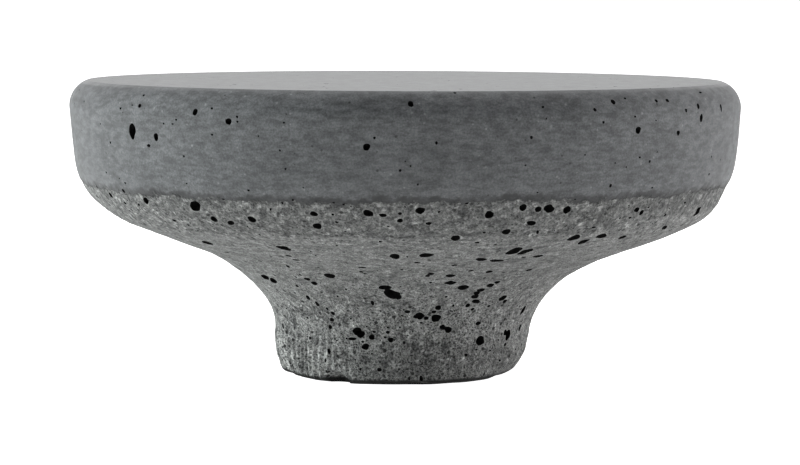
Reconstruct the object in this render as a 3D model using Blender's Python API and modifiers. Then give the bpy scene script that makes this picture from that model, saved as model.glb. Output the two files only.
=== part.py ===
"""Basalt massage stone: one mushroom-shaped stone, honed on its cap and left rough below.

Metres, +Z up. The origin is the centre of the foot, on the surface that the stone stands on.
Bearings are in degrees about +Z, from the front (-Y), and grow towards +X.
"""

from math import atan2, cos, degrees, exp, pi, radians, sin

import bmesh
import bpy
from mathutils import Matrix, Vector

# Cap
CAP_RADIUS = 0.0500
CAP_HEIGHT = 0.0437          # flat working face above the foot
RIM_RADIUS = 0.0037          # rounding between the working face and the band
BAND_DRAFT = 0.0009          # the band leans in by this much towards its foot
BAND_WIDTH = 0.0081          # from the rim's rounding down to where the band starts to turn under
SHOULDER_RADIUS = 0.0102
SHOULDER_TURN = 70.0         # degrees below level where the turn ends
FINISH_DROP = 0.0032         # from the shoulder's start down to the edge of the honing
FINISH_STEP = 0.00025        # the rough stone lies this far behind the honed skin
FINISH_WANDER = 0.0005       # the edge of the honing rises and falls by this much

# Flank and stem
STEM_RADIUS = 0.0191         # at the neck
NECK_HEIGHT = 0.0060         # where the flank's sweep becomes the stem
FLANK_PULL = 0.0143          # how far the sweep keeps the shoulder's direction
STEM_PULL = 0.0077           # how far the sweep keeps the stem's direction
STEM_TAPER = 0.0008          # the stem is slimmer by this much just above the foot's rounded edge
FOOT_ROUNDING = 0.0026

# Carving by hand
FULL_SIDE = 0.0015           # the flank is fuller by this much towards +X, and leaner towards -X
FULL_REACH = 0.0152          # from the edge of the honing down to where this fades out
UNDERSIDE_SAG = 0.0007       # the flank hangs lower by this much than the plain sweep
SAG_HEIGHT = 0.0216          # height at which it hangs lowest
SAG_SPREAD = 0.0030          # distance above and below this over which the sag fades
STEM_LEAN = -0.0004          # the stem stands this far off the cap's axis, along X
STEM_FACETS = 7              # shallow flats that the rasp left around the stem
FACET_DEPTH = 0.00022

# Worked out from the sizes above
SHOULDER_HEIGHT = CAP_HEIGHT - RIM_RADIUS - BAND_WIDTH
FINISH_HEIGHT = SHOULDER_HEIGHT - FINISH_DROP
FOOT_RADIUS = STEM_RADIUS - STEM_TAPER

# Fineness of the turned solid
STEPS_AROUND = 84
POINTS_IN_ARC = 6
POINTS_IN_FLANK = 12
CLOSEST_POINTS = 0.000025    # points of the outline nearer to each other than this are one point
WELD_DISTANCE = 0.00001
AXIS_RADIUS = 0.00005        # closer to the axis than this, unevenness fades to nothing
PORE_SEGMENTS = 10
PORE_RINGS = 6
SHARP_ANGLE = 35.0           # degrees between faces from which an edge is shown sharp

# Stone
STONE_GREY = (0.105, 0.108, 0.110, 1)
STONE_ROUGHNESS = 0.72

# Open pores: part of the outline, bearing, share of the way down that part, width, height, depth
PORES = (
    ("band", -50, 0.30, 0.0016, 0.0022, 0.0011),
    ("band", -6, 0.40, 0.0011, 0.0011, 0.0008),
    ("band", 40, 0.25, 0.0011, 0.0014, 0.0009),
    ("belt", -37, 0.16, 0.0020, 0.0018, 0.0013),
    ("belt", -14, 0.40, 0.0016, 0.0016, 0.0010),
    ("belt", -5, 0.20, 0.0017, 0.0014, 0.0012),
    ("belt", 2, 0.10, 0.0015, 0.0012, 0.0010),
    ("belt", 14, 0.22, 0.0016, 0.0014, 0.0011),
    ("belt", 23, 0.15, 0.0028, 0.0016, 0.0014),
    ("belt", 43, 0.30, 0.0020, 0.0015, 0.0012),
    ("belt", 104, 0.25, 0.0018, 0.0015, 0.0012),
    ("belt", 163, 0.35, 0.0022, 0.0016, 0.0013),
    ("belt", -118, 0.20, 0.0017, 0.0015, 0.0011),
    ("flank", 37, 0.12, 0.0022, 0.0024, 0.0014),
    ("flank", -26, 0.20, 0.0020, 0.0018, 0.0011),
    ("flank", 24, 0.22, 0.0024, 0.0022, 0.0013),
    ("flank", -22, 0.52, 0.0018, 0.0015, 0.0011),
    ("flank", -4, 0.66, 0.0027, 0.0021, 0.0014),
    ("flank", 28, 0.64, 0.0014, 0.0022, 0.0011),
    ("flank", 129, 0.40, 0.0023, 0.0020, 0.0013),
    ("flank", -147, 0.60, 0.0020, 0.0018, 0.0012),
    ("flank", 7, 0.84, 0.0014, 0.0012, 0.0010),
    ("flank", 15, 0.86, 0.0015, 0.0015, 0.0011),
    ("flank", 20, 0.93, 0.0020, 0.0015, 0.0012),
    ("flank", -18, 0.94, 0.0016, 0.0017, 0.0012),
    ("stem", 37, 0.02, 0.0015, 0.0013, 0.0011),
    ("stem", 53, 0.00, 0.0016, 0.0017, 0.0012),
    ("stem", -15, 0.14, 0.0011, 0.0011, 0.0009),
    ("stem", 118, 0.30, 0.0017, 0.0016, 0.0012),
    ("stem", -102, 0.10, 0.0018, 0.0015, 0.0011),
    ("stem", 178, 0.20, 0.0015, 0.0017, 0.0011),
)
# Chips out of the foot's edge: bearing, width along the edge, height, reach towards the centre
CHIPS = (
    (-31, 0.0036, 0.0011, 0.0022),
    (-58, 0.0044, 0.0009, 0.0016),
    (-8, 0.0026, 0.0006, 0.0012),
    (33, 0.0040, 0.0008, 0.0015),
    (61, 0.0052, 0.0012, 0.0020),
    (112, 0.0038, 0.0010, 0.0017),
    (171, 0.0046, 0.0009, 0.0018),
    (-129, 0.0042, 0.0011, 0.0016),
)


def direction(turn):
    """The (radius, height) direction that lies so many degrees above level."""
    return Vector((cos(radians(turn)), sin(radians(turn))))


def arc(centre, radius, start, end):
    """Points on an arc in the outline's plane, both ends included."""
    turns = [start + (end - start) * i / POINTS_IN_ARC for i in range(POINTS_IN_ARC + 1)]
    return [centre + radius * direction(turn) for turn in turns]


def sweep(start, leave, arrive, end):
    """Points on the smooth curve that joins the shoulder to the stem."""
    points = []
    for i in range(1, POINTS_IN_FLANK + 1):
        t = i / POINTS_IN_FLANK
        s = 1 - t
        points.append(start * s**3 + leave * 3 * s * s * t + arrive * 3 * s * t * t + end * t**3)
    return points


def outline():
    """The stone's half section, top to bottom, as one list of points for each of its zones."""
    rim_centre = Vector((CAP_RADIUS - RIM_RADIUS, CAP_HEIGHT - RIM_RADIUS))
    rim = arc(rim_centre, RIM_RADIUS, 90, 0)

    shoulder_start = Vector((CAP_RADIUS - BAND_DRAFT, SHOULDER_HEIGHT))
    lean = -degrees(atan2(BAND_DRAFT, BAND_WIDTH))
    shoulder_centre = shoulder_start - SHOULDER_RADIUS * direction(lean)
    finish_turn = lean - degrees(FINISH_DROP / SHOULDER_RADIUS)
    finish_edge = shoulder_centre + SHOULDER_RADIUS * direction(finish_turn)
    band = [rim[-1], shoulder_start, finish_edge]

    belt = arc(shoulder_centre, SHOULDER_RADIUS - FINISH_STEP, finish_turn, -SHOULDER_TURN)
    inward = direction(-SHOULDER_TURN - 90)
    neck = Vector((STEM_RADIUS, NECK_HEIGHT))
    flank = [belt[-1]] + sweep(belt[-1], belt[-1] + FLANK_PULL * inward,
                               neck + Vector((0, STEM_PULL)), neck)

    foot_centre = Vector((FOOT_RADIUS - FOOT_ROUNDING, FOOT_ROUNDING))
    foot = arc(foot_centre, FOOT_ROUNDING, 0, -90)
    return {"face": [Vector((0, CAP_HEIGHT)), rim[0]], "rim": rim, "band": band, "belt": belt,
            "flank": flank, "stem": [neck, foot[0]], "foot": foot, "sole": [foot[-1], Vector((0, 0))]}


def point_down(points, share):
    """The point, and the direction of travel, a share of the way down a list of points."""
    lengths = [(b - a).length for a, b in zip(points, points[1:])]
    left = share * sum(lengths)
    for a, b, length in zip(points, points[1:], lengths):
        if left <= length:
            break
        left -= length
    return a + (b - a) * min(left / length, 1), (b - a).normalized()


def clamped(share):
    """The share, kept between nothing and the whole."""
    return min(max(share, 0), 1)


def carved(point):
    """Moves a point of the turned form to where the carver's hand left it."""
    bearing = atan2(point.x, -point.y)
    below_cap = clamped((FINISH_HEIGHT - point.z) / (FINISH_HEIGHT - NECK_HEIGHT))
    along_flank = clamped((FINISH_HEIGHT - point.z) / FULL_REACH)
    above_sole = clamped(point.z / FOOT_ROUNDING)
    fuller = FULL_SIDE * sin(pi * along_flank) ** 2 * sin(bearing)
    facet = FACET_DEPTH * below_cap * above_sole * (cos(STEM_FACETS * bearing) - 1)
    radius = Vector((point.x, point.y)).length
    grown = (radius + fuller + facet) / max(radius, AXIS_RADIUS)
    near_edge = clamped(1 - abs(point.z - FINISH_HEIGHT) / FINISH_DROP)
    wander = FINISH_WANDER * near_edge * (sin(3 * bearing + 1) + 0.5 * sin(7 * bearing)) / 1.5
    sag = UNDERSIDE_SAG * exp(-((point.z - SAG_HEIGHT) / SAG_SPREAD) ** 2)
    return Vector((point.x * grown + STEM_LEAN * below_cap, point.y * grown, point.z + wander - sag))


def clear_scene():
    """Removes what the file holds and returns the collections for the part and for its cutters."""
    for old in list(bpy.data.objects):
        bpy.data.objects.remove(old, do_unlink=True)
    part = bpy.data.collections.new("basalt_massage_stone")
    cutters = bpy.data.collections.new("cutters")
    for collection in (part, cutters):
        bpy.context.scene.collection.children.link(collection)
    return part, cutters


def basalt():
    """Fine dark-grey lava stone."""
    material = bpy.data.materials.new("basalt")
    material.use_nodes = True
    shader = material.node_tree.nodes["Principled BSDF"]
    shader.inputs["Base Color"].default_value = STONE_GREY
    shader.inputs["Roughness"].default_value = STONE_ROUGHNESS
    shader.inputs["Metallic"].default_value = 0.0
    material.diffuse_color = STONE_GREY
    return material


def turned_stone(zones, collection):
    """Turns the outline into a closed solid, then gives it the carver's unevenness."""
    points = [Vector((0, CAP_HEIGHT))]
    for zone in zones.values():
        points += [p for p in zone if (p - points[-1]).length > CLOSEST_POINTS]
    mesh = bpy.data.meshes.new("half_section")
    edges = [(i, i + 1) for i in range(len(points) - 1)]
    mesh.from_pydata([(p.x, 0, p.y) for p in points], edges, [])
    profile = bpy.data.objects.new("half_section", mesh)
    collection.objects.link(profile)
    screw = profile.modifiers.new("turned", "SCREW")
    screw.steps = STEPS_AROUND
    screw.render_steps = STEPS_AROUND
    screw.use_merge_vertices = True
    screw.merge_threshold = WELD_DISTANCE

    depsgraph = bpy.context.evaluated_depsgraph_get()
    body = bpy.data.meshes.new_from_object(profile.evaluated_get(depsgraph))
    bpy.data.objects.remove(profile, do_unlink=True)
    for vertex in body.vertices:
        vertex.co = carved(vertex.co)
    stone = bpy.data.objects.new("massage_stone", body)
    stone.data.materials.clear()
    stone.data.materials.append(basalt())
    collection.objects.link(stone)
    return stone


def ellipsoid_into(mesh, placed, size):
    """Adds one egg-shaped cutter to a mesh of cutters."""
    shape = Matrix.Diagonal((size[0] / 2, size[1] / 2, size[2] / 2, 1))
    bmesh.ops.create_uvsphere(mesh, u_segments=PORE_SEGMENTS, v_segments=PORE_RINGS, radius=1,
                              matrix=placed @ shape)


def cutter(name, fill, collection):
    """A wire object that holds every cutter of one kind, filled in by a function."""
    shapes = bmesh.new()
    fill(shapes)
    mesh = bpy.data.meshes.new(name)
    shapes.to_mesh(mesh)
    shapes.free()
    made = bpy.data.objects.new(name, mesh)
    made.hide_render = True
    made.display_type = "WIRE"
    collection.objects.link(made)
    return made


def pore_cutters(zones):
    """Returns the function that sets every pore on the carved surface."""
    def fill(shapes):
        for zone, bearing, share, width, height, depth in PORES:
            place, down = point_down(zones[zone], share)
            turn = Matrix.Rotation(radians(bearing - 90), 4, "Z")
            on_surface = carved(turn @ Vector((place.x, 0, place.y)))
            tilt = Matrix.Rotation(atan2(-down.x, -down.y), 4, "Y")
            ellipsoid_into(shapes, Matrix.Translation(on_surface) @ turn @ tilt,
                           (2 * depth, width, height))
    return fill


def chip_cutters(shapes):
    """Sets every chip on the foot's edge, half of it below the sole."""
    edge_radius = FOOT_RADIUS - FOOT_ROUNDING / 3
    for bearing, width, height, reach in CHIPS:
        turn = Matrix.Rotation(radians(bearing - 90), 4, "Z")
        place = turn @ Vector((edge_radius, 0, 0)) + Vector((STEM_LEAN, 0, 0))
        ellipsoid_into(shapes, Matrix.Translation(place) @ turn, (2 * reach, width, 2 * height))


def main():
    part, cutters = clear_scene()
    zones = outline()
    stone = turned_stone(zones, part)
    for name, fill in (("pores", pore_cutters(zones)), ("foot_chips", chip_cutters)):
        cut = stone.modifiers.new(name, "BOOLEAN")
        cut.operation = "DIFFERENCE"
        cut.solver = "EXACT"
        cut.object = cutter(name, fill, cutters)
    stone.data.shade_smooth()
    stone.data.set_sharp_from_angle(angle=radians(SHARP_ANGLE))


main()
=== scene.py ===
"""The basalt massage stone in full detail, with its floor, lights and camera.

Metres, +Z up, in the frame of the CAD model. Bearings grow from the front (-Y) towards +X.
"""

from math import atan2, cos, degrees, pi, radians, sin

import bmesh
import bpy
import numpy as np
from mathutils import Matrix, Vector


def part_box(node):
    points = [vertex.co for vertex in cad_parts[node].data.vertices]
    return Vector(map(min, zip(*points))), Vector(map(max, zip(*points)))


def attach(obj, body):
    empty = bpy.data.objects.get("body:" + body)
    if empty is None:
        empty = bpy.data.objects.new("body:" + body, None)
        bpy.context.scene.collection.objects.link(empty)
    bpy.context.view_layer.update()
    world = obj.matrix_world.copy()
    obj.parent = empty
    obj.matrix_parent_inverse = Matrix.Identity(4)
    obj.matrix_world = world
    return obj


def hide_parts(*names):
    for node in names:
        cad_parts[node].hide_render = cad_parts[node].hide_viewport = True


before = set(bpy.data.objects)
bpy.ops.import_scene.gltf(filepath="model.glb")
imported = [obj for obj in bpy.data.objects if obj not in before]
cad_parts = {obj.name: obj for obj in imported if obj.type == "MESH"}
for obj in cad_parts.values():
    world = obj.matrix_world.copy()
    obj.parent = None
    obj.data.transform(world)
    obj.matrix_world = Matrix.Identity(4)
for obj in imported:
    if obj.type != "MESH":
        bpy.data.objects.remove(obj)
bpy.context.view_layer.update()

STONE_LOW, STONE_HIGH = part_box("massage_stone")
MM = 0.001

# The turned form, as in the CAD model
CAP_RADIUS = (STONE_HIGH.x - STONE_LOW.x) / 2
CAP_HEIGHT = STONE_HIGH.z
RIM_RADIUS = 3.7 * MM
RIM_BREAK = 20.0             # slope at which the rim's rounding leaves the honed face
BAND_DRAFT = 0.9 * MM
BAND_WIDTH = 8.1 * MM
SHOULDER_RADIUS = 10.2 * MM
SHOULDER_TURN = 70.0
FINISH_DROP = 3.2 * MM
FINISH_STEP = 0.12 * MM
FINISH_WANDER = 0.4 * MM
FINISH_RISE = 0.5 * MM       # how much higher the honing ends at the sides
STEM_RADIUS = 19.1 * MM
NECK_HEIGHT = 6.0 * MM
FLANK_PULL = 14.3 * MM
STEM_PULL = 7.7 * MM
STEM_TAPER = 0.8 * MM
FOOT_ROUNDING = 1.3 * MM
SHOULDER_HEIGHT = CAP_HEIGHT - RIM_RADIUS - BAND_WIDTH
FINISH_HEIGHT = SHOULDER_HEIGHT - FINISH_DROP
FOOT_RADIUS = STEM_RADIUS - STEM_TAPER

# Unevenness of the hand carving
FULL_SIDE = 1.5 * MM
FULL_REACH = 15.2 * MM
STEM_LEAN = -0.4 * MM
BELT_FOOT = 23.3 * MM        # where the coarse belt gives way to the swept flank
BELT_NARROWING = 2.5 * MM    # how much higher it does so on the right
BARREL = 0.22 * MM
FLANK_FULLNESS = 0.72 * MM
RASPED_UP_TO = 8.5 * MM
RASP_PITCH = 1.1 * MM
CORNER_HEIGHT = 3.4 * MM
TOP_TILT = 0.28 * MM         # how much higher the face stands at the back

# Fineness of the mesh
STEPS_AROUND = 900
ROW_SPACING = {"face": 1.6 * MM, "rim": 0.5 * MM, "band": 0.6 * MM, "belt": 0.28 * MM, "flank": 0.38 * MM,
               "stem": 0.33 * MM, "foot": 0.28 * MM, "sole": 1.4 * MM}
FACES_BEFORE_PORES = 104_000
OUTLINE_SAMPLES = 420
# Shares of the surface map: the height of each row of the side, and the gap between its parts
SIDE_ROW = 0.325
MAP_MARGIN = 0.008

# Pores that stand out: bearing, height, width, length down the surface, slant; degrees and millimetres
PORES = (
    # band
    (-50, 37.2, 1.6, 2.4, -8), (-44, 37.1, 1.1, 1.3, 0), (-48, 41.3, 0.8, 0.7, 0), (-48, 42.6, 0.6, 0.5, 0),
    (-46, 35.8, 0.9, 0.5, 0), (-57, 35.9, 0.5, 0.5, 0), (-60, 31.4, 0.6, 0.4, 0), (-53, 40.5, 0.6, 0.4, 0),
    (-54, 29.9, 0.7, 0.4, 0), (-42, 38.7, 0.4, 0.3, 0), (-40, 38.7, 0.5, 0.3, 0), (-39, 39.2, 0.5, 0.4, 0),
    (-38, 34.6, 0.5, 0.4, 0), (-35, 40.6, 0.9, 1.1, 0), (-32, 41.1, 0.5, 0.4, 0), (-32, 37.8, 0.5, 0.4, 0),
    (-29, 39.3, 1.1, 1.1, 0), (-27, 39.9, 0.5, 0.5, 0), (-27, 39.1, 0.4, 0.4, 0), (-26, 30.3, 0.5, 0.4, 0),
    (-20, 35.9, 0.4, 0.4, 0), (-19, 33.4, 0.4, 0.4, 0), (-19, 39.5, 0.4, 0.4, 0), (-6, 36.2, 1.1, 1.1, 0),
    (-5, 37.5, 0.5, 0.5, 0), (-1, 33.1, 0.5, 0.5, 0), (0, 34.1, 0.3, 0.3, 0), (1, 33.8, 0.3, 0.3, 0),
    (1, 42.2, 1.0, 1.0, 0), (8, 43.5, 0.5, 0.5, 0), (5, 37.0, 0.5, 0.6, 0), (2, 31.4, 0.4, 0.4, 0),
    (20, 37.2, 0.6, 0.6, 0), (22, 41.6, 0.5, 0.4, 0), (31, 41.0, 0.7, 0.7, 0), (35, 42.1, 0.9, 0.9, 0),
    (38, 42.5, 0.5, 0.5, 0), (33, 39.1, 0.5, 0.5, 0), (39, 39.8, 0.5, 0.4, 0), (40, 37.9, 1.1, 1.1, 0),
    (45, 41.8, 0.7, 0.7, 0), (47.5, 42.0, 0.8, 0.6, 0), (52, 40.4, 0.7, 0.7, 0), (56, 40.9, 0.8, 0.9, 0),
    (57, 39.2, 1.0, 1.3, 0), (59, 42.8, 1.0, 0.4, 0), (65, 40.4, 0.7, 1.2, 0), (50, 37.3, 0.8, 0.8, 0),
    (41, 34.6, 0.5, 0.4, 0), (43, 33.6, 0.5, 0.5, 0), (38, 33.2, 0.3, 0.3, 0), (35, 30.5, 0.6, 0.7, 0),
    (45, 30.1, 0.5, 0.4, 0), (62, 31.3, 0.6, 0.4, 0),
    # belt
    (-62, 27.9, 1.0, 1.0, 35), (-58, 26.8, 0.8, 0.6, 0), (-50, 27.6, 1.7, 1.1, 30), (-53, 27.0, 0.8, 0.5, 40),
    (-46, 25.1, 1.0, 0.8, 20), (-38, 27.4, 2.4, 1.8, 30), (-35, 25.7, 1.6, 1.3, 25),
    (-32, 25.2, 1.4, 1.0, 25),
    (-31, 28.6, 0.6, 0.4, 0), (-27, 25.9, 1.5, 1.7, 0), (-15, 26.8, 1.4, 0.9, 0), (-15, 25.3, 1.4, 1.4, 10),
    (-12, 27.0, 0.5, 0.5, 0), (-10, 28.2, 0.5, 0.5, 0), (-6, 27.2, 1.5, 1.4, 0), (-3.6, 26.8, 1.3, 0.7, 0),
    (-1, 27.1, 0.7, 0.7, 0), (-1, 26.2, 0.9, 0.9, 0), (2.4, 27.7, 1.5, 1.2, 0), (5.5, 27.4, 0.5, 0.5, 0),
    (4, 25.9, 1.0, 0.7, 0), (9.3, 23.9, 1.4, 1.7, 0), (14, 27.0, 1.5, 1.5, 0), (18, 24.6, 1.3, 1.5, -10),
    (19.5, 27.8, 1.3, 1.3, 0), (22.4, 27.5, 1.2, 1.1, 0), (24.4, 27.6, 1.8, 1.4, 0), (28, 27.4, 1.5, 1.3, 0),
    (22, 25.6, 1.7, 1.0, -10), (33, 23.5, 1.9, 2.2, -15), (37, 22.9, 1.6, 2.2, -15),
    (39, 23.5, 2.2, 1.9, -25),
    (46, 23.2, 1.8, 1.5, -25), (43, 26.9, 1.3, 0.9, -20), (45, 26.4, 1.0, 1.0, 0), (42.6, 25.9, 0.7, 0.5, 0),
    (46, 27.1, 0.7, 0.4, 0), (56, 24.0, 2.0, 1.0, -30), (65, 25.7, 1.9, 1.7, -35), (57, 27.4, 0.7, 0.5, 0),
    # flank
    (-48, 22.0, 2.6, 1.6, 25), (-26, 21.9, 2.2, 2.3, 12), (-28, 20.5, 1.1, 1.2, 10), (-28, 19.6, 1.4, 0.9, 5),
    (-43, 18.6, 0.8, 0.6, 10), (-54, 15.3, 2.6, 1.5, 35), (-51, 14.9, 2.4, 1.5, 30), (-37, 15.9, 0.5, 0.7, 0),
    (-34, 16.4, 0.7, 0.6, 20), (-33, 15.7, 1.4, 1.0, 20), (-31, 15.2, 1.2, 1.0, 20),
    (-40, 14.5, 0.8, 0.6, 20),
    (-23, 16.5, 2.0, 1.7, 15), (-11, 18.5, 1.3, 0.7, 0), (-12, 17.6, 0.8, 0.7, 0), (-11, 17.2, 0.7, 0.7, 0),
    (-45, 13.0, 0.5, 0.6, 0), (-20, 14.4, 0.4, 0.6, 0), (-25, 13.2, 0.4, 0.6, 0), (-39, 12.7, 0.8, 1.0, 0),
    (-36, 11.8, 0.8, 1.0, 0), (-32, 11.0, 0.6, 0.7, 0), (-30, 10.5, 0.8, 0.7, 0), (-6, 14.9, 2.0, 1.5, 8),
    (-4.6, 14.1, 1.8, 1.7, 30), (-3, 13.6, 2.2, 2.0, 15), (-1.6, 13.4, 1.2, 1.3, 0), (5, 21.2, 2.2, 2.3, 0),
    (3, 19.7, 1.0, 0.9, 0), (8, 17.4, 1.2, 1.0, -5), (13, 19.1, 1.0, 0.9, 0), (7, 16.9, 0.8, 0.9, 0),
    (14, 16.9, 1.5, 1.3, -10), (15, 15.7, 1.7, 1.5, -5), (9, 15.8, 0.6, 0.7, 0), (21, 14.8, 1.8, 1.6, -8),
    (18, 20.4, 2.0, 1.7, -12), (22, 20.1, 2.3, 1.5, -5), (23, 21.8, 2.3, 3.5, -10), (26, 21.7, 1.7, 2.8, -10),
    (31, 20.6, 1.6, 1.5, -5), (28, 20.5, 0.7, 0.9, 0), (25, 17.5, 1.2, 1.3, -10), (38, 17.5, 1.3, 1.2, -15),
    (32, 15.5, 1.2, 1.0, -15), (30.5, 15.1, 1.3, 1.2, -15), (27.8, 14.4, 1.4, 1.0, -10),
    (27, 13.9, 1.3, 1.0, -12), (27.3, 13.3, 1.3, 1.0, -12), (29, 12.7, 1.5, 1.0, -12),
    (41, 12.8, 1.6, 1.3, -20),
    (43, 12.3, 0.9, 0.9, 0), (14, 11.8, 1.0, 1.0, 0), (20, 12.1, 0.5, 0.7, 0), (26, 12.0, 1.0, 0.9, 0),
    (29, 11.4, 0.7, 0.7, 0), (36, 11.7, 0.7, 0.6, 0), (16, 13.3, 0.6, 0.6, 0), (1, 21.0, 0.4, 0.9, 0),
    (-2, 20.9, 1.6, 2.9, 0),
    # stem
    (2, 10.9, 1.0, 0.7, 0), (0, 10.4, 0.5, 0.4, 0), (7, 10.4, 1.6, 1.3, 0), (6, 10.3, 1.2, 0.9, 0),
    (10, 10.1, 0.8, 0.8, 0), (13, 10.9, 0.9, 0.7, 0), (14, 10.1, 1.6, 1.4, 0), (17.5, 8.7, 1.1, 1.0, 0),
    (20, 8.2, 1.3, 1.2, 0), (8, 9.5, 0.5, 0.4, 0), (34, 8.9, 1.0, 0.8, -20), (37, 6.3, 1.7, 1.6, 0),
    (51.5, 7.0, 1.0, 1.0, 0), (54, 6.7, 1.5, 1.9, 0), (53, 5.4, 0.8, 0.6, 0), (65, 7.7, 1.0, 1.3, 0),
    (60, 10.4, 1.1, 1.7, 0), (30, 4.2, 0.7, 0.7, 0), (35, 5.0, 0.6, 0.4, 0), (43, 4.8, 0.8, 0.3, 0),
    (-19.5, 8.0, 1.6, 1.4, 20), (-18, 7.6, 1.5, 1.2, 25), (-22, 6.8, 1.5, 0.5, 0), (-25, 6.8, 0.5, 0.4, 0),
    (-12, 7.8, 0.7, 0.5, 0), (-13, 7.0, 1.0, 0.9, 0), (-16, 5.5, 1.2, 1.2, 0), (-17, 6.2, 0.6, 0.5, 0),
    (-6, 8.0, 0.7, 0.6, 0), (-6, 8.6, 0.5, 0.4, 0), (-7, 7.0, 0.6, 0.5, 0), (-5, 6.6, 0.9, 0.9, 0),
    (-3, 6.7, 0.4, 0.4, 0), (-1, 8.8, 0.4, 0.4, 0), (-9, 10.9, 0.5, 0.4, 0), (-13, 4.8, 0.4, 0.4, 0),
    (-31, 9.3, 0.9, 0.7, 0), (-33, 8.2, 0.8, 0.7, 0), (-45, 9.3, 0.6, 0.5, 0), (-45, 6.5, 0.7, 0.6, 0),
    (-34, 4.8, 0.6, 1.0, 0), (-22, 9.8, 0.4, 0.4, 0), (-12, 10.6, 0.5, 0.3, 0), (-15, 8.6, 0.4, 0.3, 0),
    (23, 5.2, 0.4, 0.3, 0), (-37, 1.6, 0.8, 0.6, 0),
    # round the back and sides
    (104, 26.6, 1.8, 1.5, 0), (129, 20.8, 2.2, 2.0, 10), (163, 26.2, 2.1, 1.6, 0), (-118, 27.0, 1.7, 1.4, 0),
    (-147, 17.2, 2.0, 1.7, 0), (118, 4.6, 1.7, 1.5, 0), (-102, 6.4, 1.8, 1.4, 0), (178, 5.6, 1.5, 1.6, 0),
    (-168, 36.5, 1.3, 1.6, 0), (95, 38.6, 1.0, 1.2, 0), (141, 34.0, 0.9, 0.9, 0), (-96, 12.0, 1.9, 1.5, 0),
)
# Scattered pores of each zone: how many for each square centimetre, and their usual and largest width
SCATTER = {"face": (0.9, 0.42, 0.9), "rim": (1.2, 0.38, 0.8), "band": (1.2, 0.38, 0.8),
           "belt": (8.0, 0.45, 0.8), "flank": (5.0, 0.45, 0.9), "stem": (12.0, 0.45, 0.9),
           "foot": (6.0, 0.45, 0.9), "sole": (6.0, 0.6, 1.5)}
# Larger ones of the half that has few listed pores, and where that half starts in degrees from the front
BACK_SCATTER = {"band": (0.4, 0.8, 1.4), "belt": (3.4, 1.1, 1.5), "flank": (1.7, 1.05, 1.5),
                "stem": (3.0, 0.95, 1.5)}
BACK_BEARING = 82.0
SCATTER_SEED = 41
SMALL_PORE = 0.32 * MM
# Chips out of the foot's edge: bearing, width, height, reach; degrees and millimetres
CHIPS = ((-31, 4.2, 1.5, 2.2), (8, 5.6, 0.45, 1.2), (-60, 2.6, 0.6, 1.0), (112, 3.8, 1.0, 1.7),
         (171, 4.6, 0.9, 1.8), (-129, 4.2, 1.1, 1.6))


# ---------------------------------------------------------------- noise

def smooth_step(value, low, high):
    """0 below low, 1 above high and a smooth rise between."""
    t = np.clip((value - low) / (high - low), 0, 1)
    return t * t * (3 - 2 * t)


def lattice_noise(points, size, seed):
    """Smooth random values from -1 to 1 at points in space, with lumps about one size across."""
    table = np.random.default_rng(seed).permutation(256)
    levels = np.random.default_rng(seed + 1).uniform(-1, 1, 256)
    scaled = points / size + seed * 0.37
    cell = np.floor(scaled).astype(int)
    t = scaled - cell
    t = t * t * (3 - 2 * t)
    total = np.zeros(len(points))
    for corner in range(8):
        step = np.array([corner & 1, corner >> 1 & 1, corner >> 2 & 1])
        at = (cell + step) & 255
        value = levels[table[(table[(table[at[:, 0]] + at[:, 1]) & 255] + at[:, 2]) & 255]]
        total += value * np.prod(np.where(step, t, 1 - t), axis=1)
    return total


def fractal_noise(points, size, octaves, seed):
    """Noise with finer and weaker layers added."""
    total = np.zeros(len(points))
    for octave in range(octaves):
        total += lattice_noise(points, size / 2**octave, seed + 7 * octave) / 2**octave
    return total


# ---------------------------------------------------------------- the turned and carved surface

def direction(turn):
    """The (radius, height) direction so many degrees above level."""
    return np.array((cos(radians(turn)), sin(radians(turn))))


def arc(centre, radius, start, end):
    return [centre + radius * direction(start + (end - start) * i / 24) for i in range(25)]


def outline():
    """The half section, top to bottom, as dense points for each zone."""
    rim_arc = RIM_RADIUS / cos(radians(RIM_BREAK))
    rim_centre = np.array((CAP_RADIUS - rim_arc, CAP_HEIGHT - RIM_RADIUS))
    shoulder_start = np.array((CAP_RADIUS - BAND_DRAFT, SHOULDER_HEIGHT))
    lean = -degrees(atan2(BAND_DRAFT, BAND_WIDTH))
    shoulder_centre = shoulder_start - SHOULDER_RADIUS * direction(lean)
    finish_turn = lean - degrees(FINISH_DROP / SHOULDER_RADIUS)
    rim = arc(rim_centre, rim_arc, 90 - RIM_BREAK, 0)
    band = [rim[-1]] + arc(shoulder_centre, SHOULDER_RADIUS, lean, finish_turn)
    belt = arc(shoulder_centre, SHOULDER_RADIUS, finish_turn, -SHOULDER_TURN)
    neck = np.array((STEM_RADIUS, NECK_HEIGHT))
    leave = belt[-1] - FLANK_PULL * direction(90 - SHOULDER_TURN)
    arrive = neck + np.array((0, STEM_PULL))
    flank = []
    for i in range(61):
        t = i / 60
        s = 1 - t
        flank.append(belt[-1] * s**3 + leave * 3 * s * s * t + arrive * 3 * s * t * t + neck * t**3)
    foot_centre = np.array((FOOT_RADIUS - FOOT_ROUNDING, FOOT_ROUNDING))
    foot = arc(foot_centre, FOOT_ROUNDING, 0, -90)
    centre_top = np.array((0.4 * MM, CAP_HEIGHT))
    centre_foot = np.array((0.4 * MM, 0))
    return {"face": [centre_top, rim[0]], "rim": rim, "band": band, "belt": belt, "flank": flank,
            "stem": [neck, foot[0]], "foot": foot, "sole": [foot[-1], centre_foot]}


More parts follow.
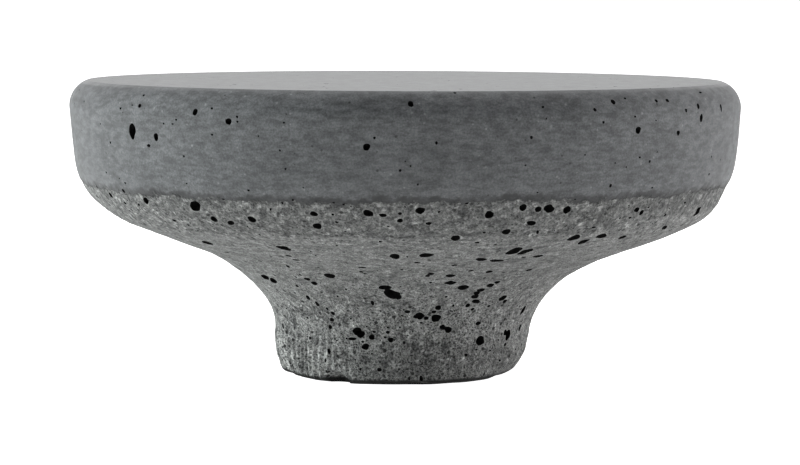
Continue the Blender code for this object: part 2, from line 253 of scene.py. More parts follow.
def rows_of(zones):
    """Radius, height, zone name and distance down the outline of each row of points."""
    radius, height, names, down = [], [], [], []
    travelled = 0.0
    for name, points in zones.items():
        points = np.array(points)
        along = np.concatenate(([0], np.cumsum(np.linalg.norm(np.diff(points, axis=0), axis=1))))
        count = max(int(along[-1] / ROW_SPACING[name]), 2)
        at = np.linspace(0, along[-1], count, endpoint=name == "sole")
        radius += list(np.interp(at, along, points[:, 0]))
        height += list(np.interp(at, along, points[:, 1]))
        names += [name] * len(at)
        down += list(travelled + at)
        travelled += along[-1]
    return np.array(radius), np.array(height), np.array(names), np.array(down)


def finish_line(bearing):
    """Height of the edge of the honing at a bearing."""
    wander = np.sin(3 * bearing + 1) + 0.6 * np.sin(7 * bearing) + 0.45 * np.sin(17 * bearing + 2)
    return FINISH_HEIGHT + FINISH_RISE * np.sin(bearing) ** 2 + FINISH_WANDER * wander / 2


def belt_foot(bearing):
    """Height of the lower edge of the coarse belt at a bearing."""
    rising = smooth_step(bearing, radians(25), radians(52))
    narrowing = rising * (1 - smooth_step(bearing, radians(100), radians(150)))
    return BELT_FOOT + BELT_NARROWING * narrowing + 0.2 * MM * np.sin(9 * bearing)


def bump_at(height, centre, spread):
    return np.exp(-((height - centre) / spread) ** 2)


def relief(points, bearing, height):
    """How far the surface stands out of the turned form, in metres, at each point."""
    below_finish = finish_line(bearing) - height
    rough = smooth_step(below_finish, 0, 0.35 * MM)
    below_belt = smooth_step(belt_foot(bearing) - height, -0.6 * MM, 0.6 * MM)
    belt = rough * (1 - below_belt)
    stem = smooth_step(-height, -14 * MM, -9 * MM)
    flank = below_belt * (1 - stem)
    on_side = smooth_step(height, 0, 0.6 * MM)
    under_rim = smooth_step(-height, -CAP_HEIGHT, -(CAP_HEIGHT - RIM_RADIUS))

    out = 0.035 * MM * under_rim * lattice_noise(points, 14 * MM, 3)
    out = out + (BARREL + 0.08 * MM * np.sin(bearing)) * bump_at(height, 34 * MM, 5.5 * MM)
    out = out + FLANK_FULLNESS * bump_at(height, 21.6 * MM, 3.0 * MM)
    out = out + 0.30 * MM * np.sin(bearing) * bump_at(height, 12 * MM, 6 * MM)
    out = out - FINISH_STEP * rough * (1 - smooth_step(below_finish, 0.5 * MM, 3 * MM))
    coarse = fractal_noise(points, 0.95 * MM, 2, 11)
    out = out + 0.055 * MM * belt * coarse
    swept = np.stack((bearing * 5 * MM, height, 0 * height), axis=1)
    out = out + flank * (0.04 * MM * fractal_noise(swept, 0.8 * MM, 2, 19) + 0.03 * MM * coarse)
    out = out + 0.07 * MM * rough * bump_at(height, belt_foot(bearing), 0.35 * MM)
    worn = fractal_noise(points, 5 * MM, 2, 23)
    out = out + stem * on_side * (0.15 * MM * worn + 0.045 * MM * coarse)
    rasped = smooth_step(-height, -RASPED_UP_TO, -4 * MM) * on_side
    strength = 0.15 + 0.85 * smooth_step(np.cos(bearing + radians(62)), 0.75, 0.97)
    drift = 0.8 * lattice_noise(points, 5 * MM, 31)
    grooves = np.sin(2 * pi * (bearing * STEM_RADIUS / RASP_PITCH + drift))
    out = out + 0.20 * MM * rasped * strength * grooves
    return out


def worn_corner(bearing, height):
    """How far the foot's lower edge is worn inwards."""
    near_foot = np.clip(1 - height / CORNER_HEIGHT, 0, 1) ** 1.4
    around = np.sin(5 * bearing + 0.8) + 0.7 * np.sin(11 * bearing + 2.2) + 0.5 * np.sin(19 * bearing)
    right = 2.0 * MM * bump_at(bearing, radians(68), radians(34))
    left = 0.9 * MM * bump_at(bearing, radians(-80), radians(22))
    return near_foot * (right + left + 0.22 * MM * around)


def carved_surface():
    """The carved skin as a grid: positions (row, column, 3), outward normals and the rows' facts."""
    radius, height, names, down = rows_of(outline())
    bearing = np.arange(STEPS_AROUND) * 2 * pi / STEPS_AROUND - pi
    b, r = np.meshgrid(bearing, radius)
    z = np.broadcast_to(height[:, None], b.shape).copy()
    below_cap = np.clip((FINISH_HEIGHT - z) / (FINISH_HEIGHT - NECK_HEIGHT), 0, 1)
    along_flank = np.clip((FINISH_HEIGHT - z) / FULL_REACH, 0, 1)
    r = r + FULL_SIDE * np.sin(pi * along_flank) ** 2 * np.sin(b)
    r = r - worn_corner(b, z)
    form = np.stack((r * np.sin(b) + STEM_LEAN * below_cap, -r * np.cos(b), z), axis=2)
    normal = grid_normals(form)
    flat = form.reshape(-1, 3)
    out = relief(flat, b.ravel(), z.ravel()).reshape(b.shape)
    flat_rows = np.isin(names, ("face", "sole"))
    out[flat_rows] = 0
    skin = form + normal * out[:, :, None]
    skin[:, :, 2] = np.clip(skin[:, :, 2], 0, CAP_HEIGHT)
    upper = smooth_step(skin[:, :, 2], SHOULDER_HEIGHT, CAP_HEIGHT)
    skin[:, :, 2] += TOP_TILT * upper * (1 + skin[:, :, 1] / CAP_RADIUS) / 2
    return {"skin": skin, "normal": grid_normals(skin), "radius": radius, "height": height, "names": names,
            "down": down, "ring_radius": radius[names == "rim"][0]}


def grid_normals(grid):
    """Outward unit normals of a closed grid of points."""
    down = np.gradient(grid, axis=0)
    across = np.roll(grid, -1, axis=1) - np.roll(grid, 1, axis=1)
    normal = np.cross(down, across)
    return normal / np.maximum(np.linalg.norm(normal, axis=2, keepdims=True), 1e-12)


def mesh_from(name, points, faces_by_size):
    """A mesh from an array of points and arrays of faces, one array for each number of corners."""
    mesh = bpy.data.meshes.new(name)
    mesh.from_pydata(points.tolist(), [], [face for faces in faces_by_size for face in faces.tolist()])
    mesh.update()
    return mesh


def skin_mesh(surface):
    """Closes the grid of the skin into a solid with a centre point above and below."""
    skin = surface["skin"]
    rows, columns = skin.shape[:2]
    index = np.arange(rows * columns).reshape(rows, columns)
    beside = np.roll(index, -1, axis=1)
    quads = np.stack((index[:-1], index[1:], beside[1:], beside[:-1]), axis=2).reshape(-1, 4)
    top, bottom = rows * columns, rows * columns + 1
    over = np.stack((np.full(columns, top), index[0], beside[0]), axis=1)
    under = np.stack((index[-1], np.full(columns, bottom), beside[-1]), axis=1)
    centres = np.array(((0, 0, CAP_HEIGHT + TOP_TILT / 2), (0, 0, 0)))
    points = np.concatenate((skin.reshape(-1, 3), centres))
    return mesh_from("skin", points, (quads, over, under))


# ---------------------------------------------------------------- pores and chips

class Bubbles:
    """Egg-shaped cutters, kept in layers in which no two touch."""

    def __init__(self):
        self.layers = []
        self.random = np.random.default_rng(SCATTER_SEED)
        self.templates = {}
        for detail in (1, 2, 3):
            ball = bmesh.new()
            bmesh.ops.create_icosphere(ball, subdivisions=detail, radius=1)
            ball.verts.ensure_lookup_table()
            points = np.array([v.co[:] for v in ball.verts])
            faces = np.array([[v.index for v in f.verts] for f in ball.faces])
            ball.free()
            self.templates[detail] = (points, faces)

    def clear_of(self, layer, centre, reach, spare):
        if not layer["centres"]:
            return True
        gaps = np.linalg.norm(np.array(layer["centres"]) - centre, axis=1) - np.array(layer["reaches"])
        return gaps.min() > reach + spare

    def add(self, centre, axes, size, lumps, crowd=True):
        """Adds a cutter with its three half sizes along three axes. Without crowd it must stand alone."""
        reach = max(size) * (1 + lumps)
        if not crowd and not all(self.clear_of(layer, centre, reach, 0.12 * MM) for layer in self.layers):
            return False
        for layer in self.layers:
            if self.clear_of(layer, centre, reach, 0.02 * MM):
                break
        else:
            layer = {"centres": [], "reaches": [], "points": [], "faces": [], "count": 0}
            self.layers.append(layer)
        width = 2 * max(size[1], size[2])
        detail = 3 if width > 1.5 * MM else 2 if width > 0.75 * MM else 1
        points, faces = self.templates[detail]
        swell = 1 + lumps * lattice_noise(points + self.random.uniform(0, 50, 3), 0.7, 5)
        shaped = (points * swell[:, None] * np.array(size)) @ np.array(axes) + centre
        layer["points"].append(shaped)
        layer["faces"].append(faces + layer["count"])
        layer["count"] += len(points)
        layer["centres"].append(centre)
        layer["reaches"].append(reach)
        return True

    def cutters(self):
        """One object for each layer, with every face in the second material slot."""
        made = []
        for number, layer in enumerate(self.layers):
            mesh = mesh_from(f"bubbles_{number}", np.concatenate(layer["points"]), layer["faces"])
            mesh.polygons.foreach_set("material_index", np.ones(len(mesh.polygons), dtype=np.int32))
            cutter = bpy.data.objects.new(f"bubbles_{number}", mesh)
            cutter.hide_render = True
            bpy.context.scene.collection.objects.link(cutter)
            made.append(cutter)
        return made


def frame_at(surface, row, bearing, slant):
    """Place on the skin, with the outward, sideways and downward directions there, turned by a slant."""
    column = int(round((bearing + pi) / (2 * pi) * STEPS_AROUND)) % STEPS_AROUND
    place = surface["skin"][row, column]
    normal = Vector(surface["normal"][row, column])
    side = Vector((cos(bearing), sin(bearing), 0))
    side = (side - normal * side.dot(normal)).normalized()
    side.rotate(Matrix.Rotation(slant, 3, normal))
    return place, (normal, side, normal.cross(side))


def add_pore(bubbles, surface, row, bearing, width, length, slant, lumps, crowd=True):
    """A pit whose mouth has about this width and length."""
    place, axes = frame_at(surface, row, bearing, slant)
    depth = 0.75 * (width * length) ** 0.5
    centre = place - np.array(axes[0]) * depth * 0.3
    half = (depth, width * 0.48, length * 0.48)
    return bubbles.add(centre, axes, half, lumps, crowd)


def all_pores(surface):
    """Every pore as a cutter: the listed ones first, then the scattered ones."""
    bubbles = Bubbles()
    names, heights = surface["names"], surface["height"]
    side_rows = np.flatnonzero(~np.isin(names, ("face", "sole")))
    for bearing, height, width, length, slant in PORES:
        row = side_rows[np.argmin(np.abs(heights[side_rows] - height * MM))]
        add_pore(bubbles, surface, row, radians(bearing), width * MM, length * MM, radians(slant), 0.26)
    scatter(bubbles, surface, BACK_SCATTER, BACK_BEARING)
    scatter(bubbles, surface, SCATTER, 0)
    return bubbles


def scatter(bubbles, surface, table, least_bearing):
    """Adds the scattered pores of each zone, all at least this many degrees away from the front."""
    names, chance = surface["names"], bubbles.random
    steps = np.gradient(surface["down"])
    for zone, (density, usual, largest) in table.items():
        rows = np.flatnonzero(names == zone)
        areas = 2 * pi * surface["radius"][rows] * steps[rows]
        wanted = int(density * areas.sum() / (10 * MM) ** 2 * (1 - least_bearing / 180))
        for _ in range(wanted):
            row = chance.choice(rows, p=areas / areas.sum())
            width = min(usual * MM * np.exp(chance.normal(0, 0.38)), largest * MM)
            stretch = np.exp(chance.normal(0, 0.18))
            bearing = chance.uniform(radians(least_bearing), pi) * chance.choice((-1, 1))
            if zone in ("rim", "band") and cos(bearing) > 0.3:
                width = min(width, SMALL_PORE)
            slant = chance.uniform(-0.6, 0.6)
            mouth = (width * stretch, width / stretch)
            add_pore(bubbles, surface, row, bearing, *mouth, slant, 0.2, crowd=False)


def chip_layer(surface):
    """The chips out of the foot's edge, each half below the sole."""
    chips = Bubbles()
    for bearing, width, height, reach in CHIPS:
        b = radians(bearing)
        outward = np.array((sin(b), -cos(b), 0))
        across = np.array((cos(b), sin(b), 0))
        centre = outward * FOOT_RADIUS + np.array((STEM_LEAN, 0, height * MM / 4))
        half = (reach * MM, width * MM / 2, height * MM)
        chips.add(centre, (outward, across, np.array((0, 0, 1))), half, 0.2)
    return chips


def read(items, name, width=1, kind=float):
    """One property of every item of a mesh, as an array with one row for each item."""
    values = np.empty(len(items) * width, dtype=kind)
    items.foreach_get(name, values)
    return values if width == 1 else values.reshape(-1, width)


def evaluated_mesh(thing):
    """The object's mesh with its modifiers applied."""
    depsgraph = bpy.context.evaluated_depsgraph_get()
    return bpy.data.meshes.new_from_object(thing.evaluated_get(depsgraph))


def replace_mesh(thing):
    """Applies every modifier to the object."""
    mesh = evaluated_mesh(thing)
    thing.modifiers.clear()
    thing.data = mesh


def cut(thing, cutters):
    """Cuts every cutter out of the object and removes the cutters."""
    for cutter in cutters:
        step = thing.modifiers.new(cutter.name, "BOOLEAN")
        step.operation = "DIFFERENCE"
        step.solver = "MANIFOLD"
        step.object = cutter
    replace_mesh(thing)
    for cutter in cutters:
        bpy.data.objects.remove(cutter, do_unlink=True)


def write_zones(mesh):
    """Stores on each point its drop below the honing and the belt in millimetres, and the pores' edges."""
    points = read(mesh.vertices, "co", 3)
    bearing = np.arctan2(points[:, 0], -points[:, 1])
    height = points[:, 2]
    corners = read(mesh.loops, "vertex_index", kind=np.int32)
    slots = read(mesh.polygons, "material_index", kind=np.int32)
    slot_of_corner = np.repeat(slots, read(mesh.polygons, "loop_total", kind=np.int32))
    outside, inside = np.zeros(len(points)), np.zeros(len(points))
    outside[corners[slot_of_corner == 0]] = 1
    inside[corners[slot_of_corner == 1]] = 1
    for name, values in (("below_finish", (finish_line(bearing) - height) / MM),
                         ("below_belt", (belt_foot(bearing) - height) / MM),
                         ("pore_edge", outside * inside)):
        mesh.attributes.new(name, "FLOAT", "POINT").data.foreach_set("value", values)


def outline_shares(points):
    """How far down the outline, from 0 to 1, the nearest point of the plain turned form lies."""
    zones = outline()
    line = np.concatenate([zones[name] for name in ("rim", "band", "belt", "flank", "stem", "foot")])
    along = np.concatenate(([0], np.cumsum(np.linalg.norm(np.diff(line, axis=0), axis=1))))
    at = np.linspace(0, along[-1], OUTLINE_SAMPLES)
    radius, height = np.interp(at, along, line[:, 0]), np.interp(at, along, line[:, 1])
    nearest = np.zeros(len(points), dtype=int)
    least = np.full(len(points), np.inf)
    across = np.hypot(points[:, 0], points[:, 1])
    for i in range(OUTLINE_SAMPLES):
        gap = (across - radius[i]) ** 2 + (points[:, 2] - height[i]) ** 2
        closer = gap < least
        nearest[closer], least[closer] = i, gap[closer]
    return nearest / (OUTLINE_SAMPLES - 1)


def lay_flat(mesh):
    """A map of the surface: the side in two rows of half a turn each, then the face and the sole."""
    points = read(mesh.vertices, "co", 3)
    sizes = read(mesh.polygons, "loop_total", kind=np.int32)
    middle = np.repeat(read(mesh.polygons, "center", 3), sizes, axis=0)
    vertex = read(mesh.loops, "vertex_index", kind=np.int32)
    corner = points[vertex]
    turn = np.arctan2(middle[:, 0], -middle[:, 1])
    beyond = (np.arctan2(corner[:, 0], -corner[:, 1]) - turn + pi) % (2 * pi) - pi
    row = (turn > 0).astype(float)
    share = outline_shares(points)[vertex]
    side_u = MAP_MARGIN + (1 - 2 * MAP_MARGIN) * ((turn + beyond) / pi + 1 - row)
    side_v = (row + 1 - share) * SIDE_ROW + MAP_MARGIN * (1 + row)
    flat_v = (1 + 2 * SIDE_ROW + 2 * MAP_MARGIN) / 2
    flat_reach = (1 - 2 * SIDE_ROW - 4 * MAP_MARGIN) / 2
    face_reach = (1 - 3 * MAP_MARGIN) / 2 - flat_reach
    face_u = MAP_MARGIN + face_reach + face_reach * corner[:, 0] / CAP_RADIUS
    face_v = flat_v + flat_reach * corner[:, 1] / CAP_RADIUS
    sole_u = 1 - MAP_MARGIN - flat_reach + flat_reach * corner[:, 0] / STEM_RADIUS
    sole_v = flat_v - flat_reach * corner[:, 1] / STEM_RADIUS
    on_face = middle[:, 2] > CAP_HEIGHT - RIM_RADIUS / 4
    on_sole = middle[:, 2] < FOOT_ROUNDING / 5
    u = np.where(on_face, face_u, np.where(on_sole, sole_u, side_u))
    v = np.where(on_face, face_v, np.where(on_sole, sole_v, side_v))
    mesh.uv_layers.new(name="OFBake").uv.foreach_set("vector", np.stack((u, v), axis=1).ravel())


def sharpen_rim(mesh, ring_radius):
    """Keeps the edge between the flat face and the rim's rounding crisp."""
    points = read(mesh.vertices, "co", 3)
    near_ring = np.abs(np.hypot(points[:, 0], points[:, 1]) - ring_radius) < 0.1 * MM
    on_ring = near_ring & (points[:, 2] > CAP_HEIGHT - 0.15 * MM)
    ends = read(mesh.edges, "vertices", 2, np.int32)
    sharp = read(mesh.edges, "use_edge_sharp", kind=bool)
    mesh.edges.foreach_set("use_edge_sharp", sharp | on_ring[ends].all(axis=1))


def carved_stone():
    """The whole stone as one mesh object."""
    surface = carved_surface()
    stone = bpy.data.objects.new("carved_stone", skin_mesh(surface))
    bpy.context.scene.collection.objects.link(stone)
    for material in (basalt(), pore_basalt()):
        stone.data.materials.append(material)
    thin = stone.modifiers.new("thin", "DECIMATE")
    thin.ratio = FACES_BEFORE_PORES / (2 * len(stone.data.polygons))
    replace_mesh(stone)
    cut(stone, chip_layer(surface).cutters())
    stone.data.polygons.foreach_set("material_index", np.zeros(len(stone.data.polygons), dtype=np.int32))
    cut(stone, all_pores(surface).cutters())
    write_zones(stone.data)
    lay_flat(stone.data)
    stone.data.shade_smooth()
    stone.data.set_sharp_from_angle(angle=radians(42))
    sharpen_rim(stone.data, surface["ring_radius"])
    return stone


# ---------------------------------------------------------------- materials

class Nodes:
    """Short names for adding nodes to a material's tree."""

    def __init__(self, material):
        material.use_nodes = True
        self.tree = material.node_tree
        self.shader = self.tree.nodes["Principled BSDF"]

    def add(self, kind, inputs=(), **settings):
        node = self.tree.nodes.new(kind)
        for name, value in settings.items():
            setattr(node, name, value)
        for socket, value in dict(inputs).items():
            self.feed(node.inputs[socket], value)
        return node

    def feed(self, socket, value):
        if isinstance(value, bpy.types.NodeSocket):
            self.tree.links.new(value, socket)
        else:
            socket.default_value = value

    def maths(self, operation, a, b=0.0):
        return self.add("ShaderNodeMath", {0: a, 1: b}, operation=operation).outputs[0]

    def rescale(self, value, low, high, to_low=0.0, to_high=1.0):
        node = self.add("ShaderNodeMapRange", {"Value": value, "From Min": low, "From Max": high,
                                               "To Min": to_low, "To Max": to_high})
        node.interpolation_type = "SMOOTHSTEP"
        return node.outputs["Result"]

    def mix(self, share, a, b, kind="MIX"):
        node = self.add("ShaderNodeMix", data_type="RGBA", blend_type=kind)
        self.feed(node.inputs[0], share)
        self.feed(node.inputs[6], a)
        self.feed(node.inputs[7], b)
        return node.outputs[2]

    def toned(self, colour, tone):
        """The colour made lighter or darker by a factor."""
        return self.mix(1.0, colour, tone, "MULTIPLY")

    def vector(self, operation, *inputs):
        node = self.add("ShaderNodeVectorMath", dict(enumerate(inputs)), operation=operation)
        return node.outputs[0]

    def blend(self, share, a, b):
        node = self.add("ShaderNodeMix", data_type="FLOAT")
        self.feed(node.inputs[0], share)
        self.feed(node.inputs[2], a)
        self.feed(node.inputs[3], b)
        return node.outputs[0]

    def attribute(self, name):
        return self.add("ShaderNodeAttribute", attribute_name=name).outputs["Fac"]

    def window(self, value, start, rise, fall, end):
        """1 from rise to fall, and 0 before start and after end."""
        return self.maths("MULTIPLY", self.rescale(value, start, rise), self.rescale(value, end, fall))

    def place(self, stretch=(1, 1, 1)):
        """Object coordinates in millimetres, stretched."""
        where = self.add("ShaderNodeTexCoord").outputs["Object"]
        scale = tuple(s / MM for s in stretch)
        return self.vector("MULTIPLY", where, scale)

    def noise(self, place, per_mm, detail=3.0, roughness=0.6):
        node = self.add("ShaderNodeTexNoise", {"Vector": place, "Scale": per_mm, "Detail": detail,
                                               "Roughness": roughness})
        return node.outputs["Fac"]

    def cells(self, place, per_mm, feature="F1"):
        return self.add("ShaderNodeTexVoronoi", {"Vector": place, "Scale": per_mm}, feature=feature)

    def specks(self, place, per_mm, share, reach):
        """Round spots in a share of the cells, each reaching this far in its cell."""
        cells = self.cells(place, per_mm)
        pick = self.add("ShaderNodeSeparateColor", {"Color": cells.outputs["Color"]}).outputs[0]
        chosen = self.rescale(pick, 1 - share, 1 - share + 0.04)
        near = self.rescale(cells.outputs["Distance"], reach * 1.25, reach * 0.8)
        return self.maths("MULTIPLY", chosen, near)


HONED_GREY = (0.097, 0.100, 0.104, 1)
HONED_FLECK = (0.230, 0.236, 0.242, 1)
# Painted shade along the edge of the honing
HONING_EDGE_SHADE = (0.024, 0.024, 0.025, 1)
ROUGH_MID = (0.142, 0.143, 0.141, 1)
ROUGH_LIGHT = (0.300, 0.302, 0.294, 1)
ROUGH_DARK = (0.045, 0.045, 0.046, 1)
# Painted shade: near-black greys that stand in for the shade inside pores, pits and pinholes and under the
# foot
PAINTED_SHADE_BLACK = (0.004, 0.004, 0.004, 1)
PAINTED_SHADE_GREY = (0.014, 0.014, 0.014, 1)


class Zones:
    """Where a point of the stone lies, as sockets that every part of the material shares."""

    def __init__(self, n):
        self.place = n.place()
        split = n.add("ShaderNodeSeparateXYZ", {0: self.place})
        self.height = split.outputs[2]
        self.bearing = n.maths("ARCTAN2", split.outputs[0], n.maths("MULTIPLY", split.outputs[1], -1.0))
        ragged = n.rescale(n.noise(self.place, 0.8, 3), 0.2, 0.8, -0.5, 0.5)
        self.below_finish = n.maths("ADD", n.attribute("below_finish"), ragged)
        self.below_belt = n.maths("ADD", n.attribute("below_belt"), ragged)
        self.rough = n.rescale(self.below_finish, -0.05, 0.25)
        self.stem = n.rescale(self.height, 16, 9)
        self.swept = n.rescale(self.below_belt, -0.4, 0.8)
        self.flank = n.maths("MULTIPLY", self.swept, n.maths("SUBTRACT", 1.0, self.stem))
        self.cloud = n.noise(self.place, 0.16, 3)
        self.fine = n.noise(self.place, 3.6, 2, 0.7)
        self.grain = n.noise(self.place, 0.95, 3, 0.6)
        self.crumbs = n.noise(self.place, 3.0, 2, 0.7)
        self.pinholes = n.specks(self.place, 0.8, 0.10, 0.14)
        self.pits = n.maths("MAXIMUM", n.specks(self.place, 1.5, 0.34, 0.22),
                            n.specks(self.place, 0.75, 0.55, 0.20))


def honed_colour(n, at):
    """Smooth grey with faint clouds, pale flecks and a few pinholes filled with painted shade."""
    mottle = n.noise(n.place((0.5, 0.5, 1.3)), 1.0, 3, 0.65)
    cloud_tone = n.rescale(at.cloud, 0.3, 0.7, 0.90, 1.10)
    tone = n.maths("MULTIPLY", cloud_tone, n.rescale(mottle, 0.3, 0.7, 0.68, 1.32))
    tone = n.maths("MULTIPLY", tone, n.rescale(at.fine, 0.32, 0.68, 0.76, 1.24))
    honed = n.toned(HONED_GREY, tone)
    flecks = n.maths("MULTIPLY", n.specks(at.place, 1.1, 0.30, 0.18), n.rescale(mottle, 0.35, 0.65))
    honed = n.mix(n.maths("MULTIPLY", flecks, 0.75), honed, HONED_FLECK)
    # Painted shade: the pinholes are darkened to near black
    return n.mix(n.maths("MULTIPLY", at.pinholes, 0.7), honed, PAINTED_SHADE_GREY)


def coarse_colour(n, at):
    """Broken stone: dark and light grains, crumbs and a pale net between the smallest pits."""
    ramp = n.add("ShaderNodeValToRGB", {"Fac": at.grain})
    ramp.color_ramp.elements[0].position, ramp.color_ramp.elements[0].color = 0.30, ROUGH_DARK
    ramp.color_ramp.elements[1].position, ramp.color_ramp.elements[1].color = 0.74, ROUGH_LIGHT
    ramp.color_ramp.elements.new(0.50).color = ROUGH_MID
    coarse = ramp.outputs["Color"]
    warp = n.add("ShaderNodeTexNoise", {"Vector": at.place, "Scale": 1.6, "Detail": 1.0}).outputs["Color"]
    warped = n.vector("MULTIPLY_ADD", warp, (0.7, 0.7, 0.7), at.place)
    cells = n.cells(warped, 1.7)
    picks = n.add("ShaderNodeSeparateColor", {"Color": cells.outputs["Color"]})
    cell_tone = n.maths("ADD", n.rescale(picks.outputs[0], 0.0, 1.0, 0.66, 1.20),
                        n.rescale(picks.outputs[1], 0.84, 0.97, 0.0, 0.75))
    coarse = n.mix(n.blend(at.flank, 0.9, 0.55), coarse, n.toned(coarse, cell_tone))
    crumb_tone = n.rescale(at.crumbs, 0.36, 0.64, 0.28, 1.72)
    coarse = n.mix(n.blend(at.stem, 0.62, 0.95), coarse, n.toned(coarse, crumb_tone))
    web = n.rescale(n.cells(warped, 1.9, "DISTANCE_TO_EDGE").outputs["Distance"], 0.11, 0.02)
    patches = n.rescale(n.noise(at.place, 0.35, 2), 0.36, 0.54)
    strength = n.rescale(at.below_belt, 0.5, 3.0, 0.30, 0.95)
    web = n.maths("MULTIPLY", n.maths("MULTIPLY", web, patches), strength)
    return n.mix(web, coarse, ROUGH_LIGHT)


def with_brushing(n, at, coarse):
    """The streaks that go round the flank and the smoother right of the belt, and the tones of both, with
    painted shade on the front of the belt.
    """
    around = n.maths("MULTIPLY", at.bearing, 9.0)
    level = n.vector("MULTIPLY", at.place, (1, 1, 0))
    distance = n.add("ShaderNodeVectorMath", {0: level}, operation="LENGTH").outputs["Value"]
    swept = n.add("ShaderNodeCombineXYZ", {0: around, 1: distance, 2: at.height}).outputs[0]
    streak_tone = n.rescale(n.noise(swept, 1.1, 3, 0.6), 0.32, 0.68, 0.74, 1.26)
    brushed = n.toned(n.mix(0.32, coarse, ROUGH_MID), streak_tone)
    smoother = n.maths("MULTIPLY", n.window(at.bearing, 0.55, 0.80, 1.6, 2.4), 0.65)
    coarse = n.mix(n.maths("MAXIMUM", n.maths("MULTIPLY", at.flank, 0.85), smoother), coarse, brushed)
    grit = n.rescale(n.noise(at.place, 4.6, 1, 0.5), 0.38, 0.62, 0.74, 1.26)
    coarse = n.mix(at.swept, coarse, n.toned(coarse, grit))
    # Painted shade: the belt is made darker towards the front
    front = n.window(at.bearing, -1.0, -0.5, 1.1, 1.6)
    belt_front_shade = n.blend(front, 1.0, 0.81)
    flank_tone = n.blend(n.rescale(at.height, 15.0, 10.0), 1.12, 1.0)
    return n.toned(coarse, n.blend(n.rescale(at.below_belt, -0.6, 0.6), belt_front_shade, flank_tone))


def with_stem_shading_and_rasp_marks(n, at, coarse):
    """A foot with painted light on the left and painted shade in front, in patches low down, and upright rasp
    marks on the left.
    """
    # Painted light and shade: low on the foot, lighter on the left and darker in front, in patches
    patches = n.rescale(n.noise(at.place, 0.3, 2), 0.25, 0.55, 0.6, 1.0)
    painted_foot_light_and_shade = n.maths("MULTIPLY", n.rescale(at.height, 7.5, 4.0), patches)
    light = n.maths("MULTIPLY", n.window(at.bearing, -2.4, -1.5, -1.05, -0.25), 0.40)
    dark = n.maths("MULTIPLY", n.window(at.bearing, -0.8, -0.1, 0.9, 1.6), 0.28)
    painted_foot_tone = n.maths("SUBTRACT", n.maths("ADD", 1.0, light), dark)
    coarse = n.mix(painted_foot_light_and_shade, coarse, n.toned(coarse, painted_foot_tone))
    turned = n.add("ShaderNodeCombineXYZ", {0: n.maths("MULTIPLY", at.bearing, 19.0),
                                            1: n.maths("MULTIPLY", at.height, 0.10)}).outputs[0]
    rasp_tone = n.rescale(n.noise(turned, 0.60, 3, 0.55), 0.40, 0.60, 0.74, 1.30)
    left = n.window(at.bearing, -2.6, -1.6, -0.80, -0.45)
    rasped = n.maths("MULTIPLY", n.rescale(at.height, 10.0, 5.0), n.blend(left, 0.3, 1.0))
    return n.mix(rasped, coarse, n.toned(coarse, rasp_tone))


def with_pits(n, at, coarse):
    """Painted shade in small pits, a broken painted highlight along the belt's foot and painted highlights on
    the pores' edges.
    """
    # Painted shade: the small pits are darkened to near black
    coarse = n.mix(n.maths("MULTIPLY", at.pits, n.blend(at.stem, 0.7, 0.9)), coarse, PAINTED_SHADE_BLACK)
    # Painted highlight: a broken pale line along the belt's foot
    edge = n.window(at.below_belt, -0.3, 0.0, 0.02, 0.25)
    broken = n.rescale(at.cloud, 0.48, 0.62, 0.0, 0.6)
    coarse = n.mix(n.maths("MULTIPLY", edge, broken), coarse, ROUGH_LIGHT)
    # Painted highlight: the pores' rims are made pale
    return n.mix(n.maths("MULTIPLY", n.attribute("pore_edge"), 0.45), coarse, ROUGH_LIGHT)


def with_dark_lines(n, at, colour):
    """Painted shade: a dark line at the edge of the honing, and a painted contact shadow where the foot meets
    the floor.
    """
    # Painted shade: a dark band along and just above the edge of the honing, fading in places
    honing_edge_shade = n.window(at.below_finish, -0.85, -0.10, 0.05, 0.60)
    fading = n.rescale(n.noise(at.place, 0.12, 2), 0.35, 0.6, 0.60, 0.95)
    colour = n.mix(n.maths("MULTIPLY", honing_edge_shade, fading), colour, HONING_EDGE_SHADE)
    # Painted contact shadow on the foot's side just above the floor, kept off the sole
    facing = n.add("ShaderNodeSeparateXYZ", {0: n.add("ShaderNodeNewGeometry").outputs["Normal"]}).outputs[2]
    painted_contact_shadow = n.maths("MULTIPLY", n.rescale(at.height, 1.0, 0.5), n.rescale(facing, -0.97, -0.85))
    return n.mix(n.maths("MULTIPLY", painted_contact_shadow, 0.95), colour, PAINTED_SHADE_BLACK)


def stone_gloss(n, at):
    """The face is the smoothest, then the band, and the broken stone is dull."""
    on_face = n.rescale(at.height, CAP_HEIGHT / MM - 0.45, CAP_HEIGHT / MM - 0.15)
    grain = n.rescale(at.fine, 0.2, 0.8, -0.05, 0.05)
    return n.blend(at.rough, n.maths("ADD", grain, n.blend(on_face, 0.50, 0.38)), 0.86)


def stone_bump(n, at):
    """Grains and pits of the broken stone, and pinholes in the honed skin."""
    lumps = n.maths("ADD", at.grain, n.maths("MULTIPLY", at.crumbs, 0.5))
    lumps = n.maths("SUBTRACT", lumps, n.maths("MULTIPLY", at.pits, 1.2))
    skin = n.maths("SUBTRACT", n.maths("MULTIPLY", at.fine, 0.12), n.maths("MULTIPLY", at.pinholes, 0.5))
    height = n.blend(at.rough, skin, lumps)
    bump = n.add("ShaderNodeBump", {"Height": height, "Strength": 0.5, "Distance": 0.16 * MM})
    return bump.outputs["Normal"]


